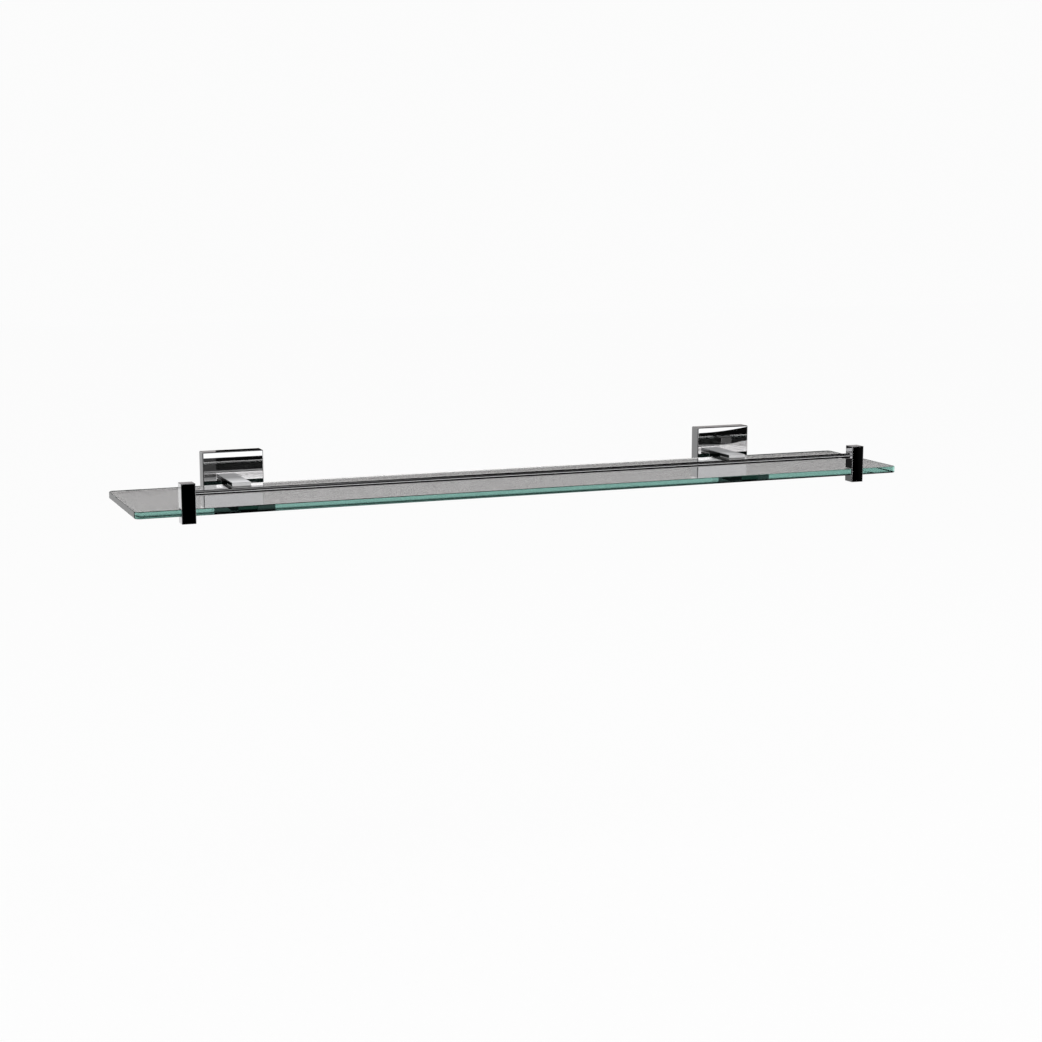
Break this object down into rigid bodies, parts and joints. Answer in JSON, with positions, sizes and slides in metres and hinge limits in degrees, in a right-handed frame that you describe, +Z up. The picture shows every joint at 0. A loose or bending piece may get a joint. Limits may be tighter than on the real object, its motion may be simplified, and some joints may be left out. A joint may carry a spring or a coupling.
{
  "type": "glass wall shelf with brackets",
  "caption": "Wall-hung clear glass shelf on square chrome wall plates with slotted arms, and a round chrome guard rail held above its front edge by slotted square posts.",
  "frame": {"origin": "on the wall plane, at the centre of the four wall screws, level with the top face of the glass", "axes": "+X along the shelf to the right as seen from the room, +Y into the wall, +Z up"},
  "size_m": [0.6, 0.1504, 0.046],
  "materials": {
    "chrome": "mirror polished plating",
    "shelf_glass": "clear, polished edges that look green",
    "liner": "soft dark grey moulding",
    "bracket_steel": "zinc plated sheet",
    "screw_steel": "bright zinc plated",
    "dark_steel": "stainless grub screw"
  },
  "bodies": {
    "root": {"glass_shelf": "shelf_glass", "front_rail": "chrome", "left_post": "chrome", "left_post_liner": "liner", "left_post_grub_screw": "dark_steel", "left_arm": "chrome", "left_arm_liner": "liner", "left_arm_grub_screw": "dark_steel", "left_arm_screws": "screw_steel", "left_cover_plate": "chrome", "left_cover_grub_screw": "dark_steel", "left_wall_bracket": "bracket_steel", "left_wall_screws": "screw_steel", "right_post": "chrome", "right_post_liner": "liner", "right_post_grub_screw": "dark_steel", "right_arm": "chrome", "right_arm_liner": "liner", "right_arm_grub_screw": "dark_steel", "right_arm_screws": "screw_steel", "right_cover_plate": "chrome", "right_cover_grub_screw": "dark_steel", "right_wall_bracket": "bracket_steel", "right_wall_screws": "screw_steel"}
  },
  "joints": []
}
